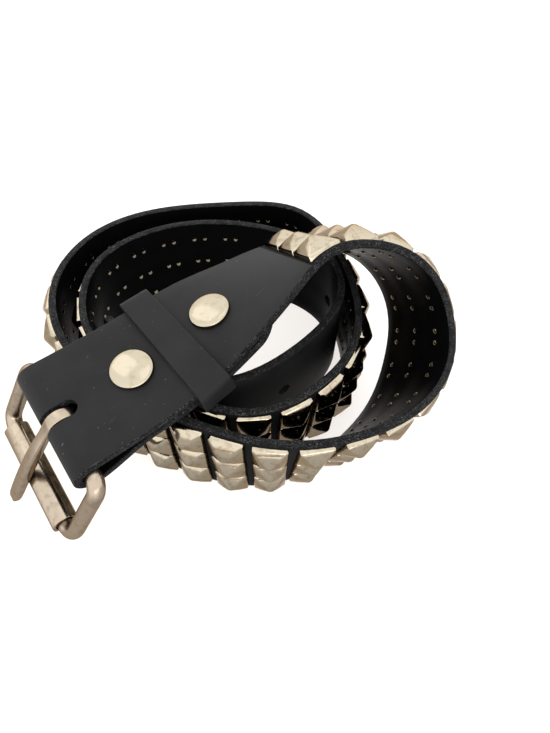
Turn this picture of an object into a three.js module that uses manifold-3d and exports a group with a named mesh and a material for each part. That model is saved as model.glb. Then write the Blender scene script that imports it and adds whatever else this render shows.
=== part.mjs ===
import * as THREE from "three";
import { mergeVertices } from "three/addons/utils/BufferGeometryUtils.js";
import Module from "manifold-3d";

// A studded leather belt, unbuckled and loosely rolled, standing on its edge. Millimetres, +Z up.
// +X is the coil's long way, -Y is the side of its buckle, and Z = 0 is the ground under it.
// A place on the strap is (s, v, h): s along it from the fold at the buckle, v across it, positive
// towards the edge that stands on the ground, and h out of its studded face, from mid thickness.

const wasm = await Module();
wasm.setup();

// Clearance between pieces that touch
const GAP = 0.3;

// Leather
const LEATHER = 2.8;
const EDGE_MARGIN = 1.6;
const TURN_SLACK = 0.9;

// Pyramid studs
const STUD = 12.7;
const STUD_HEIGHT = 5.8;
const STUD_RIM = 1.5;
const STUD_ROWS = 3;
const STUD_COLUMNS = 50;
const COLUMN_GAP = 0.7;

// Lengths along the strap: fold to first stud, last stud to tip, and the flap behind the fold
const BUCKLE_END = 93.2;
const TAIL = 182.3;
const TAIL_POINT = 26;
const FLAP = 80;
const FLAP_POINT = 14;
const FLAP_CLOSING = 20;

// Punched holes of the tail
const HOLE_RADIUS = 2.6;
const HOLE_SIDES = 16;
const HOLE_COUNT = 5;
const HOLE_PITCH = 25.4;
const LAST_HOLE_TO_TIP = 62;

// Snaps
const SNAP_PLACES = [31, 61.6];
const CAP_RADIUS = 7.25;
const CAP_HEIGHT = 2.5;
const CAP_RIM = 0.9;
const POST_RADIUS = 2.2;
const SNAP_BACK_RADIUS = 6.2;
const SNAP_BACK_HEIGHT = 1.8;

// Keeper
const KEEPER_PLACE = 46.3;
const KEEPER_WIDTH = 11;
const KEEPER_LEATHER = 1.8;
const KEEPER_PLAY = 1.6;

// Buckle
const BAR_RADIUS = 2.65;
const BUCKLE_REACH = 26.5;
const ARM_GAP = 1.3;
const FRAME_CORNER = 4.5;
const FRAME_DROOP = 53;
const ROLLER_WALL = 1.05;
const EYE_THICKNESS = 2.4;
const TONGUE_WIDTH = 4.4;
const PRONG_THICKNESS = 3.4;
const TONGUE_OVERHANG = 12;
const SLOT_SIDE = 0.6;
const SLOT_END_ROOM = 1.2;

// Sizes that follow
const STRAP_WIDTH = STUD_ROWS * STUD + 2 * EDGE_MARGIN;
const COLUMN_PITCH = STUD + COLUMN_GAP;
const STUDS_END = BUCKLE_END + STUD_COLUMNS * COLUMN_PITCH;
const BELT_LENGTH = STUDS_END + TAIL;
const FOLD_RADIUS = BAR_RADIUS + GAP + LEATHER / 2;
const BAR_PLACE = FOLD_RADIUS + LEATHER / 2;
const LAYER_STEP = LEATHER + GAP;
const EYE_RADIUS = BAR_RADIUS + GAP + EYE_THICKNESS / 2;
const SLOT_END = BAR_PLACE + EYE_RADIUS + EYE_THICKNESS / 2 + SLOT_END_ROOM;
const SLOT_WIDTH = TONGUE_WIDTH + 2 * SLOT_SIDE;
const ROLLER_RADIUS = BAR_RADIUS + GAP + ROLLER_WALL;
const FRAME_HALF = STRAP_WIDTH / 2 + ARM_GAP + BAR_RADIUS;

// How far each turn stands outside the tail's turn, so that leather and studs clear their neighbours
const BARE_STEP = LEATHER + TURN_SLACK;
const STUDDED_STEP = LEATHER + STUD_HEIGHT + TURN_SLACK;
const END = 0;
const OUTER = BARE_STEP + STUDDED_STEP;
const MIDDLE = BARE_STEP;
const INNER = 0;

// The strap's middle line from the buckle to the tip, a row for each section. across and away are
// shares of the coil's core size, from its middle to +X and +Y, beyond which the turn's step is added.
// lift is the middle line's height as a share of the strap's width. lean turns the strap about its
// length, in degrees: 0 stands on edge, 90 lies studs up, and below 0 its upper edge leans outwards.
const ROUTE = [
  { turn: END, across: -0.98, away: -1.04, lift: 1.21, lean: 93 },
  { turn: END, across: -0.38, away: -0.60, lift: 1.22, lean: 93 },
  { turn: END, across: -0.07, away: -0.32, lift: 1.32, lean: 85 },
  { turn: END, across: 0.28, away: -0.04, lift: 1.40, lean: 65 },
  { turn: END, across: 0.62, away: 0.25, lift: 1.54, lean: 50 },
  { turn: OUTER, across: 0.91, away: 0.26, lift: 1.34, lean: 45 },
  { turn: OUTER, across: 1.20, away: 0.11, lift: 1.00, lean: 6 },
  { turn: OUTER, across: 1.24, away: -0.17, lift: 0.65, lean: -30 },
  { turn: OUTER, across: 1.07, away: -0.50, lift: 0.46, lean: -31 },
  { turn: OUTER, across: 0.66, away: -0.75, lift: 0.50, lean: -17 },
  { turn: OUTER, across: 0.23, away: -0.85, lift: 0.51, lean: 1 },
  { turn: OUTER, across: -0.29, away: -0.61, lift: 0.51, lean: 5 },
  { turn: OUTER, across: -0.82, away: -0.36, lift: 0.51, lean: 4 },
  { turn: OUTER, across: -1.08, away: 0.15, lift: 0.50, lean: 0 },
  { turn: OUTER, across: -0.94, away: 0.63, lift: 0.50, lean: 0 },
  { turn: OUTER, across: -0.52, away: 0.86, lift: 0.50, lean: 0 },
  { turn: OUTER, across: 0.05, away: 0.88, lift: 0.50, lean: 0 },
  { turn: OUTER, across: 0.52, away: 0.93, lift: 0.50, lean: 0 },
  { turn: MIDDLE, across: 0.89, away: 0.50, lift: 0.50, lean: 0 },
  { turn: MIDDLE, across: 0.99, away: -0.17, lift: 0.50, lean: 0 },
  { turn: MIDDLE, across: 0.70, away: -0.58, lift: 0.51, lean: -3 },
  { turn: MIDDLE, across: 0.19, away: -0.84, lift: 0.51, lean: -6 },
  { turn: MIDDLE, across: -0.28, away: -0.55, lift: 0.51, lean: -3 },
  { turn: MIDDLE, across: -0.83, away: -0.33, lift: 0.50, lean: 0 },
  { turn: MIDDLE, across: -1.00, away: 0.14, lift: 0.50, lean: 0 },
  { turn: MIDDLE, across: -0.92, away: 0.58, lift: 0.50, lean: 0 },
  { turn: MIDDLE, across: -0.36, away: 0.89, lift: 0.50, lean: 0 },
  { turn: INNER, across: 0.36, away: 0.89, lift: 0.50, lean: 0 },
  { turn: INNER, across: 0.87, away: 0.58, lift: 0.50, lean: 0 },
  { turn: INNER, across: 0.96, away: 0.09, lift: 0.50, lean: 0 },
  { turn: INNER, across: 0.57, away: -0.37, lift: 0.50, lean: 0 },
  { turn: INNER, across: 0.05, away: -0.71, lift: 0.50, lean: 0 },
  { turn: INNER, across: -0.52, away: -0.48, lift: 0.50, lean: 0 },
  { turn: INNER, across: -0.94, away: 0.13, lift: 0.50, lean: 0 },
];

// Control points of the route for a core size: its middle line and its lean
function routePoints(core) {
  return ROUTE.map((row) => {
    const shape = new THREE.Vector2(row.across, row.away);
    const place = shape.clone().multiplyScalar(core).addScaledVector(shape.clone().normalize(), row.turn);
    return new THREE.Vector4(place.x, place.y, row.lift * STRAP_WIDTH, THREE.MathUtils.degToRad(row.lean));
  });
}

// A point past either end of the list carries its last step on
function pointAt(points, index) {
  const last = points.length - 1;
  if (index < 0) return points[0].clone().multiplyScalar(2).sub(points[1]);
  if (index > last) return points[last].clone().multiplyScalar(2).sub(points[last - 1]);
  return points[index];
}

// Shares of the four control points round a place, f of the way through a span of a cubic B-spline
function placeShares(f) {
  return [
    (1 - f) ** 3 / 6,
    (3 * f ** 3 - 6 * f ** 2 + 4) / 6,
    (-3 * f ** 3 + 3 * f ** 2 + 3 * f + 1) / 6,
    f ** 3 / 6,
  ];
}

// The same for its slope
function slopeShares(f) {
  return [
    -((1 - f) ** 2) / 2,
    (3 * f ** 2 - 4 * f) / 2,
    (-3 * f ** 2 + 2 * f + 1) / 2,
    f ** 2 / 2,
  ];
}

// Uniform cubic B-spline along the list of control points
function spline(points, u, sharesAt = placeShares) {
  const i = Math.min(Math.max(Math.floor(u), 0), points.length - 2);
  const value = new THREE.Vector4(0, 0, 0, 0);
  sharesAt(u - i).forEach((share, k) => value.addScaledVector(pointAt(points, i - 1 + k), share));
  return value;
}

const STEPS_PER_ROW = 24;
const FIRST_CORE = 50;
const CORE_ROUNDS = 30;

// Lengths along the route at even steps of the spline
function routeLengths(points) {
  const lengths = [0];
  let before = spline(points, 0);
  for (let k = 1; k <= (points.length - 1) * STEPS_PER_ROW; k += 1) {
    const here = spline(points, k / STEPS_PER_ROW);
    const step = Math.hypot(here.x - before.x, here.y - before.y, here.z - before.z);
    lengths.push(lengths[k - 1] + step);
    before = here;
  }
  return lengths;
}

// The core size that gives the route the belt's length
function solveCore() {
  let core = FIRST_CORE;
  for (let round = 0; round < CORE_ROUNDS; round += 1) {
    core *= BELT_LENGTH / routeLengths(routePoints(core)).at(-1);
  }
  return core;
}

const route = routePoints(solveCore());
const lengths = routeLengths(route);

// Spline parameter at a length along the strap, straight on past both ends
function routeParameter(s) {
  if (s <= 0) return s / (lengths[1] * STEPS_PER_ROW);
  let k = lengths.findIndex((length) => length >= s);
  if (k < 0) k = lengths.length - 1;
  return (k - 1 + (s - lengths[k - 1]) / (lengths[k] - lengths[k - 1])) / STEPS_PER_ROW;
}

// The strap's own axes at a length s: along it to the tip, across it, and out of its studded face
function strapAxes(s) {
  const u = routeParameter(s);
  const inside = Math.max(u, 0);
  const middle = spline(route, inside);
  const heading = spline(route, inside, slopeShares);
  const along = new THREE.Vector3(heading.x, heading.y, heading.z).normalize();
  const side = new THREE.Vector3(-along.y, along.x, 0).normalize();
  const up = along.clone().cross(side);
  const lean = middle.w;
  const out = side.clone().multiplyScalar(Math.cos(lean)).addScaledVector(up, Math.sin(lean));
  const across = side.clone().multiplyScalar(Math.sin(lean)).addScaledVector(up, -Math.cos(lean));
  const origin = new THREE.Vector3(middle.x, middle.y, middle.z).addScaledVector(along, Math.min(s, 0));
  return { origin, along, across, out };
}

function onStrap(s, v, h) {
  const { origin, across, out } = strapAxes(s);
  return origin.clone().addScaledVector(across, v).addScaledVector(out, h);
}

// A placing matrix at a spot of the strap: X along, Y across, Z out
function strapMatrix(s, v = 0, h = 0) {
  const { along, across, out } = strapAxes(s);
  return new THREE.Matrix4().makeBasis(along, across, out).setPosition(onStrap(s, v, h));
}

const RIM_SPOTS = 24;

// How far the curved strap rises above the flat foot of a round piece at s, on the side of sign
function riseUnder(s, radius, sign) {
  const toFoot = strapMatrix(s).invert();
  let rise = 0;
  for (let k = 0; k < RIM_SPOTS; k += 1) {
    const bearing = (2 * Math.PI * k) / RIM_SPOTS;
    const spot = onStrap(s + radius * Math.cos(bearing), radius * Math.sin(bearing), 0);
    rise = Math.max(rise, spot.applyMatrix4(toFoot).z * sign);
  }
  return rise;
}

// A closed body through sections of equally many points, capped at its ends or closed on itself
function loft(sections, ring = false) {
  const count = sections[0].length;
  const positions = [];
  const triangle = (...points) => points.forEach((point) => positions.push(point.x, point.y, point.z));
  const spans = ring ? sections.length : sections.length - 1;
  for (let i = 0; i < spans; i += 1) {
    const a = sections[i];
    const b = sections[(i + 1) % sections.length];
    for (let j = 0; j < count; j += 1) {
      const k = (j + 1) % count;
      triangle(a[j], b[j], b[k]);
      triangle(a[j], b[k], a[k]);
    }
  }
  if (!ring) {
    const first = sections[0];
    const last = sections.at(-1);
    fill(first).forEach(([p, q, r]) => triangle(first[p], first[q], first[r]));
    fill(last).forEach(([p, q, r]) => triangle(last[r], last[q], last[p]));
  }
  return closedGeometry(positions);
}

// Triangles that fill a section
function fill(section) {
  return THREE.ShapeUtils.triangulateShape(flatten(section), []);
}

// A section's points in its own plane, counter-clockwise as seen against its normal
function flatten(section) {
  const middle = new THREE.Vector3();
  section.forEach((point) => middle.addScaledVector(point, 1 / section.length));
  const normal = new THREE.Vector3();
  section.forEach((point, k) => {
    const next = section[(k + 1) % section.length];
    normal.add(point.clone().sub(middle).cross(next.clone().sub(middle)));
  });
  normal.normalize();
  const x = section[0].clone().sub(middle).normalize();
  const y = normal.clone().cross(x);
  return section.map((point) => {
    const offset = point.clone().sub(middle);
    return new THREE.Vector2(offset.dot(x), offset.dot(y));
  });
}

const MERGE_DISTANCE = 1e-4;

// A merged geometry whose faces point out
function closedGeometry(positions) {
  const soup = new THREE.BufferGeometry();
  soup.setAttribute("position", new THREE.Float32BufferAttribute(positions, 3));
  const geometry = mergeVertices(soup, MERGE_DISTANCE);
  return signedVolume(geometry) < 0 ? turnInsideOut(geometry) : geometry;
}

function signedVolume(geometry) {
  const position = geometry.getAttribute("position");
  const index = geometry.getIndex();
  const corner = (k) => new THREE.Vector3().fromBufferAttribute(position, index.getX(k));
  let volume = 0;
  for (let k = 0; k < index.count; k += 3) {
    volume += corner(k).dot(corner(k + 1).cross(corner(k + 2))) / 6;
  }
  return volume;
}

function turnInsideOut(geometry) {
  const flipped = Array.from(geometry.getIndex().array);
  for (let k = 0; k < flipped.length; k += 3) {
    [flipped[k], flipped[k + 1]] = [flipped[k + 1], flipped[k]];
  }
  geometry.setIndex(flipped);
  return geometry;
}

function toSolid(geometry) {
  const bare = geometry.clone();
  bare.deleteAttribute("normal");
  bare.deleteAttribute("uv");
  const merged = mergeVertices(bare, MERGE_DISTANCE);
  const vertProperties = new Float32Array(merged.getAttribute("position").array);
  const triVerts = new Uint32Array(merged.getIndex().array);
  return new wasm.Manifold(new wasm.Mesh({ numProp: 3, vertProperties, triVerts }));
}

function toGeometry(solid) {
  const mesh = solid.getMesh();
  const geometry = new THREE.BufferGeometry();
  geometry.setAttribute("position", new THREE.Float32BufferAttribute(mesh.vertProperties, 3));
  geometry.setIndex(Array.from(mesh.triVerts));
  return geometry;
}

function cut(geometry, cutters) {
  let solid = toSolid(geometry);
  cutters.forEach((cutter) => {
    solid = solid.subtract(toSolid(cutter));
  });
  return toGeometry(solid);
}

// Materials
const leather = new THREE.MeshStandardMaterial({ color: 0x232427, roughness: 0.55, metalness: 0 });
const nickel = new THREE.MeshStandardMaterial({ color: 0xc9b99f, roughness: 0.25, metalness: 1 });

function piece(name, geometry, material) {
  const shape = geometry.clone();
  shape.computeVertexNormals();
  const mesh = new THREE.Mesh(shape, material);
  mesh.name = name;
  return mesh;
}

// Strap

// How a strap's end narrows to its rounded point: shares of the point's length and of half the width
const POINT_SHAPE = [
  { along: 0.0, half: 1.0 },
  { along: 0.3, half: 0.95 },
  { along: 0.58, half: 0.8 },
  { along: 0.8, half: 0.58 },
  { along: 0.94, half: 0.34 },
  { along: 1.0, half: 0.14 },
];

// Across the strap: its edges, and lines under the edges of the stud rows
const WIDTH_LINES = [STRAP_WIDTH / 2];
for (let row = 0; row <= STUD_ROWS; row += 1) {
  WIDTH_LINES.push((STUD_ROWS / 2 - row) * STUD);
}
WIDTH_LINES.push(-STRAP_WIDTH / 2);
WIDTH_LINES.reverse();

// Longest steps between the strap's sections, and how many steps close the flap onto the strap
const FLAP_STEP = 9;
const BUCKLE_END_STEP = 8;
const TAIL_STEP = 11;
const FOLD_STEP_DEGREES = 30;
const CLOSING_STEPS = 5;

// Side view of the strap from the flap's point round the fold to the tip: s, h and share of the width
function strapProfile() {
  const profile = [];
  const step = (s, h, half = 1) => profile.push({ s, h, half });
  const evenly = (from, to, longest, make) => {
    const count = Math.ceil((to - from) / longest);
    for (let k = 1; k < count; k += 1) make(from + ((to - from) * k) / count);
  };
  const closed = BAR_PLACE + FLAP_CLOSING;
  const pointStart = FLAP - FLAP_POINT;
  [...POINT_SHAPE].reverse().forEach(({ along, half }) => {
    step(pointStart + along * FLAP_POINT, -LAYER_STEP, half);
  });
  evenly(closed, pointStart, FLAP_STEP, (s) => step(closed + pointStart - s, -LAYER_STEP));
  for (let k = 0; k < CLOSING_STEPS; k += 1) {
    const share = 1 - k / CLOSING_STEPS;
    const ease = THREE.MathUtils.smoothstep(share, 0, 1);
    step(BAR_PLACE + share * FLAP_CLOSING, THREE.MathUtils.lerp(-2 * FOLD_RADIUS, -LAYER_STEP, ease));
  }
  for (let angle = -90; angle >= -270; angle -= FOLD_STEP_DEGREES) {
    const bearing = THREE.MathUtils.degToRad(angle);
    step(BAR_PLACE + FOLD_RADIUS * Math.cos(bearing), FOLD_RADIUS * (Math.sin(bearing) - 1));
  }
  const studsStart = BUCKLE_END - COLUMN_GAP / 2;
  evenly(BAR_PLACE, studsStart, BUCKLE_END_STEP, (s) => step(s, 0));
  for (let column = 0; column <= STUD_COLUMNS; column += 1) {
    step(studsStart + column * COLUMN_PITCH, 0);
  }
  const tailPoint = BELT_LENGTH - TAIL_POINT;
  evenly(studsStart + STUD_COLUMNS * COLUMN_PITCH, tailPoint, TAIL_STEP, (s) => step(s, 0));
  POINT_SHAPE.forEach(({ along, half }) => step(tailPoint + along * TAIL_POINT, 0, half));
  return profile;
}

function strapGeometry() {
  const profile = strapProfile();
  const sections = profile.map(({ s, h, half }, k) => {
    const before = profile[Math.max(k - 1, 0)];
    const after = profile[Math.min(k + 1, profile.length - 1)];
    const run = new THREE.Vector2(after.s - before.s, after.h - before.h).normalize();
    const face = (offset) => (v) => onStrap(s - run.y * offset, v * half, h + run.x * offset);
    const outer = WIDTH_LINES.map(face(LEATHER / 2));
    const inner = WIDTH_LINES.map(face(-LEATHER / 2)).reverse();
    return [...outer, ...inner];
  });
  return loft(sections);
}

// A round hole through the strap from height top down to height bottom
function punch(s, radius, top, bottom) {
  const cutter = new THREE.CylinderGeometry(radius, radius, top - bottom, HOLE_SIDES);
  cutter.rotateX(Math.PI / 2);
  return cutter.applyMatrix4(strapMatrix(s, 0, (top + bottom) / 2));
}

// The tongue's slot: through the upper layer, the fold and the flap, round at its end
function slotCutter() {
  const half = SLOT_WIDTH / 2;
  const outline = new THREE.Shape();
  outline.moveTo(-LEATHER, -half);
  outline.lineTo(SLOT_END - half, -half);
  outline.absarc(SLOT_END - half, 0, half, -Math.PI / 2, Math.PI / 2, false);
  outline.lineTo(-LEATHER, half);
  outline.closePath();
  const depth = 2 * FOLD_RADIUS + 3 * LEATHER;
  const cutter = new THREE.ExtrudeGeometry(outline, { depth, bevelEnabled: false, curveSegments: 6 });
  cutter.translate(0, 0, 1.5 * LEATHER - depth);
  return cutter.applyMatrix4(strapMatrix(0));
}

function makeStrap() {
  const cutters = [slotCutter()];
  SNAP_PLACES.forEach((s) => {
    cutters.push(punch(s, POST_RADIUS + GAP, LEATHER, -LAYER_STEP - LEATHER));
  });
  for (let hole = 0; hole < HOLE_COUNT; hole += 1) {
    const s = BELT_LENGTH - LAST_HOLE_TO_TIP - hole * HOLE_PITCH;
    cutters.push(punch(s, HOLE_RADIUS, LEATHER, -LEATHER));
  }
  return piece("strap", cut(strapGeometry(), cutters), leather);
}

// Studs

// One column of pyramid studs across the strap, side by side and touching. Their feet lie along the
// strap's own facet between the middles of the gaps on both sides.
function makeStudColumn(column) {
  const from = BUCKLE_END + column * COLUMN_PITCH;
  const to = from + STUD;
  const facet = from - COLUMN_GAP / 2;
  const foot = LEATHER / 2 + GAP;
  const onFacet = (s, v, h) => {
    const next = onStrap(facet + COLUMN_PITCH, v, h);
    return onStrap(facet, v, h).lerp(next, (s - facet) / COLUMN_PITCH);
  };
  const positions = [];
  const triangle = (...spots) => {
    spots.forEach(([s, v, h]) => positions.push(...onFacet(s, v, foot + h).toArray()));
  };
  for (let row = 0; row < STUD_ROWS; row += 1) {
    const low = (row - STUD_ROWS / 2) * STUD;
    const high = low + STUD;
    const corners = [[from, low], [to, low], [to, high], [from, high]];
    const at = (k, h) => [...corners[k % 4], h];
    const tip = [(from + to) / 2, (low + high) / 2, STUD_HEIGHT];
    triangle(at(0, 0), at(3, 0), at(2, 0));
    triangle(at(0, 0), at(2, 0), at(1, 0));
    for (let k = 0; k < 4; k += 1) {
      triangle(at(k, STUD_RIM), at(k + 1, STUD_RIM), tip);
      const shared = (k === 0 && row > 0) || (k === 2 && row < STUD_ROWS - 1);
      if (shared) continue;
      triangle(at(k, 0), at(k + 1, 0), at(k + 1, STUD_RIM));
      triangle(at(k, 0), at(k + 1, STUD_RIM), at(k, STUD_RIM));
    }
  }
  const name = `stud_column_${String(column + 1).padStart(2, "0")}`;
  return piece(name, closedGeometry(positions), nickel);
}

// Snaps

const TURNED_SIDES = 16;

// The cap's domed top: shares of its radius and of its height above the rim
const CAP_SHAPE = [
  { radius: 1, height: 0 },
  { radius: 0.86, height: 0.5 },
  { radius: 0.55, height: 0.87 },
  { radius: 0, height: 1 },
];

// A turned profile about the local Z axis
function turned(profile) {
  const points = profile.map(([radius, height]) => new THREE.Vector2(radius, height));
  const geometry = new THREE.LatheGeometry(points, TURNED_SIDES).rotateX(Math.PI / 2);
  const faces = geometry.toNonIndexed();
  return closedGeometry(Array.from(faces.getAttribute("position").array));
}

// The cap is a low dome with a post through both layers, and the back is a ring round the post
function makeSnap(number, s) {
  const foot = LEATHER / 2 + GAP + riseUnder(s, CAP_RADIUS, 1);
  const under = -LEATHER / 2 - LAYER_STEP - GAP - riseUnder(s, SNAP_BACK_RADIUS, -1);
  const bottom = under - SNAP_BACK_HEIGHT;
  const dome = CAP_SHAPE.map(({ radius, height }) => {
    return [CAP_RADIUS * radius, foot + THREE.MathUtils.lerp(CAP_RIM, CAP_HEIGHT, height)];
  });
  const cap = turned([
    [0, bottom], [POST_RADIUS, bottom], [POST_RADIUS, foot], [CAP_RADIUS, foot], ...dome,
  ]);
  const hole = POST_RADIUS + GAP;
  const back = turned([
    [hole, bottom], [SNAP_BACK_RADIUS, bottom], [SNAP_BACK_RADIUS, under], [hole, under], [hole, bottom],
  ]);
  const snap = new THREE.Group();
  snap.add(piece(`snap_cap_${number}`, cap, nickel), piece(`snap_back_${number}`, back, nickel));
  snap.applyMatrix4(strapMatrix(s));
  return snap;
}

// Keeper

const KEEPER_CORNER_STEPS = 2;

// A flat leather band bent round the strap and its flap, open at its ends for the belt's tail
function makeKeeper() {
  const half = STRAP_WIDTH / 2 + KEEPER_PLAY;
  const top = LEATHER / 2 + GAP;
  const bottom = -LEATHER / 2 - LAYER_STEP - GAP;
  const corner = KEEPER_LEATHER / 2;
  const from = KEEPER_PLACE - KEEPER_WIDTH / 2;
  const to = KEEPER_PLACE + KEEPER_WIDTH / 2;
  const centres = [
    [half - corner, top - corner],
    [corner - half, top - corner],
    [corner - half, bottom + corner],
    [half - corner, bottom + corner],
  ];
  const sections = [];
  centres.forEach(([v, h], k) => {
    const centre = new THREE.Vector2(v, h);
    for (let step = 0; step <= KEEPER_CORNER_STEPS; step += 1) {
      const bearing = (Math.PI / 2) * (k + step / KEEPER_CORNER_STEPS);
      const outward = new THREE.Vector2(Math.cos(bearing), Math.sin(bearing));
      const inner = centre.clone().addScaledVector(outward, corner);
      const outer = centre.clone().addScaledVector(outward, corner + KEEPER_LEATHER);
      sections.push([
        onStrap(from, inner.x, inner.y), onStrap(to, inner.x, inner.y),
        onStrap(to, outer.x, outer.y), onStrap(from, outer.x, outer.y),
      ]);
    }
  });
  return piece("keeper", loft(sections, true), leather);
}

// Buckle, in its own axes: X along the bars, Y from the heel bar to the front bar, Z up off its plane

const BAR_SIDES = 10;
const FRAME_CORNER_STEPS = 4;

// Sections of the frame's round bar along a flat path in the XY plane
function barSections(path) {
  return path.map(({ point, side }) => {
    const section = [];
    for (let k = 0; k < BAR_SIDES; k += 1) {
      const angle = (2 * Math.PI * k) / BAR_SIDES;
      const spot = point.clone().addScaledVector(side, BAR_RADIUS * Math.cos(angle));
      spot.z += BAR_RADIUS * Math.sin(angle);
      section.push(spot);
    }
    return section;
  });
}

function makeFrame() {
  const path = [];
  const right = FRAME_HALF - FRAME_CORNER;
  const front = BUCKLE_REACH - FRAME_CORNER;
  const centres = [[right, front], [-right, front], [-right, FRAME_CORNER], [right, FRAME_CORNER]];
  centres.forEach(([x, y], k) => {
    for (let step = 0; step <= FRAME_CORNER_STEPS; step += 1) {
      const bearing = (Math.PI / 2) * (k + step / FRAME_CORNER_STEPS);
      const side = new THREE.Vector3(Math.cos(bearing), Math.sin(bearing), 0);
      const point = new THREE.Vector3(x, y, 0).addScaledVector(side, FRAME_CORNER);
      path.push({ point, side });
    }
  });
  return piece("buckle_frame", loft(barSections(path), true), nickel);
}

function makeRoller() {
  const half = FRAME_HALF - FRAME_CORNER - GAP;
  const hole = BAR_RADIUS + GAP;
  const tube = turned([
    [hole, -half], [ROLLER_RADIUS, -half], [ROLLER_RADIUS, half], [hole, half], [hole, -half],
  ]);
  const roller = piece("roller", tube, nickel);
  roller.rotation.y = Math.PI / 2;
  roller.position.y = BUCKLE_REACH;
  return roller;
}

// The prong ahead of its eye: shares of the reach, of the climb onto the roller, and of its full section
const PRONG_SHAPE = [
  { forward: 0.12, climb: 0.1, width: 0.9, depth: 0.8 },
  { forward: 0.3, climb: 0.35, width: 0.95, depth: 1 },
  { forward: 0.65, climb: 0.85, width: 1, depth: 1 },
  { forward: 1, climb: 1, width: 1, depth: 1 },
];

// Its tip past the front bar: shares of the overhang and of its full section
const TIP_SHAPE = [
  { along: 0.5, width: 0.95, depth: 0.95 },
  { along: 0.85, width: 0.85, depth: 0.8 },
  { along: 1, width: 0.45, depth: 0.4 },
];

// Its section: shares of half the width and of half the depth
const TONGUE_SECTION = [
  { across: 1, up: 0.5 },
  { across: 0.62, up: 1 },
  { across: -0.62, up: 1 },
  { across: -1, up: 0.5 },
  { across: -1, up: -0.5 },
  { across: -0.62, up: -1 },
  { across: 0.62, up: -1 },
  { across: 1, up: -0.5 },
];

// Where its eye starts and ends round the heel bar, in degrees
const EYE_START = -50;
const EYE_END = -270;
const EYE_STEPS = 8;

function makeTongue() {
  const sections = [];
  // A section with its middle at y, z, standing across the heading
  const section = (y, z, heading, width, depth) => {
    const up = new THREE.Vector2(-heading.y, heading.x).multiplyScalar(depth / 2);
    sections.push(TONGUE_SECTION.map((row) => {
      return new THREE.Vector3((row.across * width) / 2, y + up.x * row.up, z + up.y * row.up);
    }));
  };
  for (let k = 0; k <= EYE_STEPS; k += 1) {
    const bearing = THREE.MathUtils.degToRad(THREE.MathUtils.lerp(EYE_START, EYE_END, k / EYE_STEPS));
    const heading = new THREE.Vector2(Math.sin(bearing), -Math.cos(bearing));
    const y = EYE_RADIUS * Math.cos(bearing);
    const z = EYE_RADIUS * Math.sin(bearing);
    section(y, z, heading, TONGUE_WIDTH, EYE_THICKNESS);
  }
  const top = ROLLER_RADIUS + GAP + PRONG_THICKNESS / 2;
  const forward = new THREE.Vector2(1, 0);
  PRONG_SHAPE.forEach((row) => {
    const z = EYE_RADIUS + row.climb * (top - EYE_RADIUS);
    const depth = THREE.MathUtils.lerp(EYE_THICKNESS, PRONG_THICKNESS, row.depth);
    section(row.forward * BUCKLE_REACH, z, forward, row.width * TONGUE_WIDTH, depth);
  });
  TIP_SHAPE.forEach((row) => {
    const y = BUCKLE_REACH + row.along * TONGUE_OVERHANG;
    section(y, top, forward, row.width * TONGUE_WIDTH, row.depth * PRONG_THICKNESS);
  });
  return piece("tongue", loft(sections), nickel);
}

// The buckle hangs from the fold by its heel bar and droops forward
function makeBuckle() {
  const { along, across, out } = strapAxes(BAR_PLACE);
  const buckle = new THREE.Group();
  buckle.add(makeFrame(), makeRoller(), makeTongue());
  const swing = new THREE.Matrix4().makeRotationX(THREE.MathUtils.degToRad(-FRAME_DROOP));
  const seat = new THREE.Matrix4().makeBasis(across, along.clone().negate(), out);
  seat.setPosition(onStrap(BAR_PLACE, 0, -FOLD_RADIUS));
  buckle.applyMatrix4(seat.multiply(swing));
  return buckle;
}

// The whole belt, with its origin on the ground under the middle of its box
function makeBelt() {
  const coil = new THREE.Group();
  coil.add(makeStrap());
  for (let column = 0; column < STUD_COLUMNS; column += 1) {
    coil.add(makeStudColumn(column));
  }
  SNAP_PLACES.forEach((s, k) => coil.add(makeSnap(k + 1, s)));
  coil.add(makeKeeper(), makeBuckle());
  const box = new THREE.Box3().setFromObject(coil, true);
  const middle = box.getCenter(new THREE.Vector3());
  coil.position.set(-middle.x, -middle.y, -box.min.z);
  const belt = new THREE.Group();
  belt.add(coil);
  belt.updateMatrixWorld(true);
  return belt;
}

export default makeBelt();
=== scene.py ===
"""A studded leather belt, rolled up and standing on its edge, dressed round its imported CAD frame."""

import math
from collections import namedtuple

import bmesh
import bpy
import numpy as np
from mathutils import Matrix, Vector


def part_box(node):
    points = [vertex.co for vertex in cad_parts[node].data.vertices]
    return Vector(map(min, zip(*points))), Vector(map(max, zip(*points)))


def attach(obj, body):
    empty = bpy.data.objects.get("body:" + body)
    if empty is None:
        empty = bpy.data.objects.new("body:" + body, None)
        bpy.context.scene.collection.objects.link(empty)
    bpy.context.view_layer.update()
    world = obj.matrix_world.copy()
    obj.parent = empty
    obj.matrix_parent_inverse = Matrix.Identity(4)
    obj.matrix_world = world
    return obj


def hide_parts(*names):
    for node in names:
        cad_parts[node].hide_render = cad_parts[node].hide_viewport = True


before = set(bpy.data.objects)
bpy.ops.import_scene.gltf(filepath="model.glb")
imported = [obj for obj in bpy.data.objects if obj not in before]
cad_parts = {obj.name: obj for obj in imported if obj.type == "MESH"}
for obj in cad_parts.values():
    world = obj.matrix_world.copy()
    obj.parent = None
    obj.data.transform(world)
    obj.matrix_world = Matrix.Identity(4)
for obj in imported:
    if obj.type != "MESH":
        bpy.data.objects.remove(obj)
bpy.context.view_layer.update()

bl_info = {
    "name": "Studded belt",
    "version": (1, 0, 0),
    "blender": (4, 5, 0),
    "location": "View3D > Sidebar > Studded belt",
    "description": "Makes a rolled studded belt, its buckle and a small studio",
    "category": "Object",
}

MM = 0.001

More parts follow.
